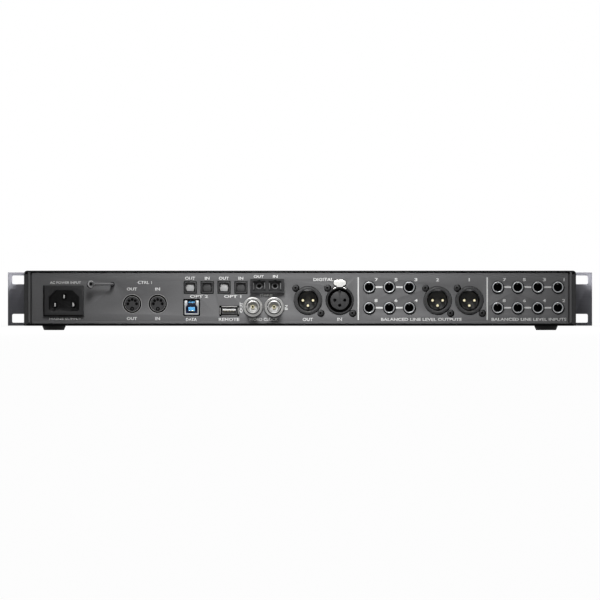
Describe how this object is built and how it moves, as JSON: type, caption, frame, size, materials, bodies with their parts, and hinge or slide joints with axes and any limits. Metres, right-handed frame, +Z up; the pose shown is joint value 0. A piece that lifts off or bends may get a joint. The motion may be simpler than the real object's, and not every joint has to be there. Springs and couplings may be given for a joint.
{
  "type": "rack audio interface",
  "caption": "Flat rack-mount audio interface: a folded sheet case with slotted ears, feet, a rear panel of power, data, optical, digital and line sockets, and front controls.",
  "frame": {"origin": "centre of the bounding box's footprint, on the surface that the feet stand on", "axes": "+X to the right as seen facing the connector panel, +Y from the connector panel to the control panel, +Z up"},
  "size_m": [0.4826, 0.2686, 0.0475],
  "materials": {
    "black_paint": "satin",
    "grey_paint": "satin",
    "anodised": "satin",
    "rubber": "matte",
    "black_plastic": "satin",
    "grey_plastic": "satin",
    "pale_plastic": "satin",
    "blue_plastic": "satin",
    "white_plastic": "satin",
    "nickel": "polished",
    "gold": "polished",
    "circuit_board": "satin",
    "display_glass": "gloss"
  },
  "bodies": {
    "chassis": {"top_cover": "black_paint", "base_tray": "black_paint", "cord_hook": "black_paint", "rear_panel": "grey_paint", "rear_panel_outputs": "grey_paint", "rear_panel_inputs": "grey_paint", "front_panel": "anodised", "rack_ear_left": "anodised", "rack_ear_right": "anodised", "foot_rear_left": "rubber", "foot_rear_right": "rubber", "foot_front_left": "rubber", "foot_front_right": "rubber", "mains_inlet": "black_plastic", "optical_port_1": "black_plastic", "optical_port_2": "black_plastic", "optical_port_3": "black_plastic", "optical_port_4": "black_plastic", "fibre_socket": "black_plastic", "xlr_plug_shell_1": "black_plastic", "xlr_plug_shell_2": "black_plastic", "xlr_plug_shell_3": "black_plastic", "xlr_socket_shell": "black_plastic", "jack_pair_out_a": "black_plastic", "jack_pair_out_b": "black_plastic", "jack_pair_out_c": "black_plastic", "jack_pair_in_a": "black_plastic", "jack_pair_in_b": "black_plastic", "jack_pair_in_c": "black_plastic", "jack_pair_in_d": "black_plastic", "phones_jack": "black_plastic", "combo_input_1": "black_plastic", "combo_input_2": "black_plastic", "din_socket_out": "grey_plastic", "din_socket_in": "grey_plastic", "xlr_socket_insert": "grey_plastic", "host_port_insert": "blue_plastic", "aux_port_tongue": "white_plastic", "mains_blade_earth": "nickel", "mains_blade_left": "nickel", "mains_blade_right": "nickel", "host_port_shell": "nickel", "aux_port_shell": "nickel", "clock_jack_out": "nickel", "clock_jack_in": "nickel", "xlr_plug_contacts_1": "gold", "xlr_plug_contacts_2": "gold", "xlr_plug_contacts_3": "gold", "main_board": "circuit_board", "front_board": "circuit_board", "display_window": "display_glass"},
    "shutter_1": {"optical_shutter_1": "pale_plastic"},
    "shutter_2": {"optical_shutter_2": "grey_plastic"},
    "shutter_3": {"optical_shutter_3": "pale_plastic"},
    "shutter_4": {"optical_shutter_4": "grey_plastic"},
    "latch": {"xlr_latch": "nickel"},
    "knob_1": {"encoder_knob_1": "anodised"},
    "knob_2": {"encoder_knob_2": "anodised"},
    "knob_3": {"encoder_knob_3": "anodised"},
    "button": {"power_button": "pale_plastic"}
  },
  "joints": [
    {"name": "shutter_1_swing", "type": "hinge", "parent": "chassis", "child": "shutter_1", "pos_m": [-0.0875, -0.11745, 0.0375], "axis": [1, 0, 0], "range_deg": [0, 75], "stiffness_Nm_per_rad": 0.0004, "springref_deg": -5.73},
    {"name": "shutter_2_swing", "type": "hinge", "parent": "chassis", "child": "shutter_2", "pos_m": [-0.07403, -0.11745, 0.0375], "axis": [1, 0, 0], "range_deg": [0, 75], "stiffness_Nm_per_rad": 0.0004, "springref_deg": -5.73},
    {"name": "shutter_3_swing", "type": "hinge", "parent": "chassis", "child": "shutter_3", "pos_m": [-0.06056, -0.11745, 0.0375], "axis": [1, 0, 0], "range_deg": [0, 75], "stiffness_Nm_per_rad": 0.0004, "springref_deg": -5.73},
    {"name": "shutter_4_swing", "type": "hinge", "parent": "chassis", "child": "shutter_4", "pos_m": [-0.04709, -0.11745, 0.0375], "axis": [1, 0, 0], "range_deg": [0, 75], "stiffness_Nm_per_rad": 0.0004, "springref_deg": -5.73},
    {"name": "latch_push", "type": "slide", "parent": "chassis", "child": "latch", "axis": [0, 1, 0], "range_m": [0, 0.0012], "stiffness_N_per_m": 800, "springref_m": -0.0005},
    {"name": "knob_1_turn", "type": "hinge", "parent": "chassis", "child": "knob_1", "pos_m": [-0.056, 0.12225, 0.0255], "axis": [0, -1, 0], "continuous": true},
    {"name": "knob_2_turn", "type": "hinge", "parent": "chassis", "child": "knob_2", "pos_m": [-0.082, 0.12225, 0.0255], "axis": [0, -1, 0], "continuous": true},
    {"name": "knob_3_turn", "type": "hinge", "parent": "chassis", "child": "knob_3", "pos_m": [-0.108, 0.12225, 0.0255], "axis": [0, -1, 0], "continuous": true},
    {"name": "button_push", "type": "slide", "parent": "chassis", "child": "button", "axis": [0, -1, 0], "range_m": [0, 0.0012], "stiffness_N_per_m": 800, "springref_m": -0.0005}
  ]
}
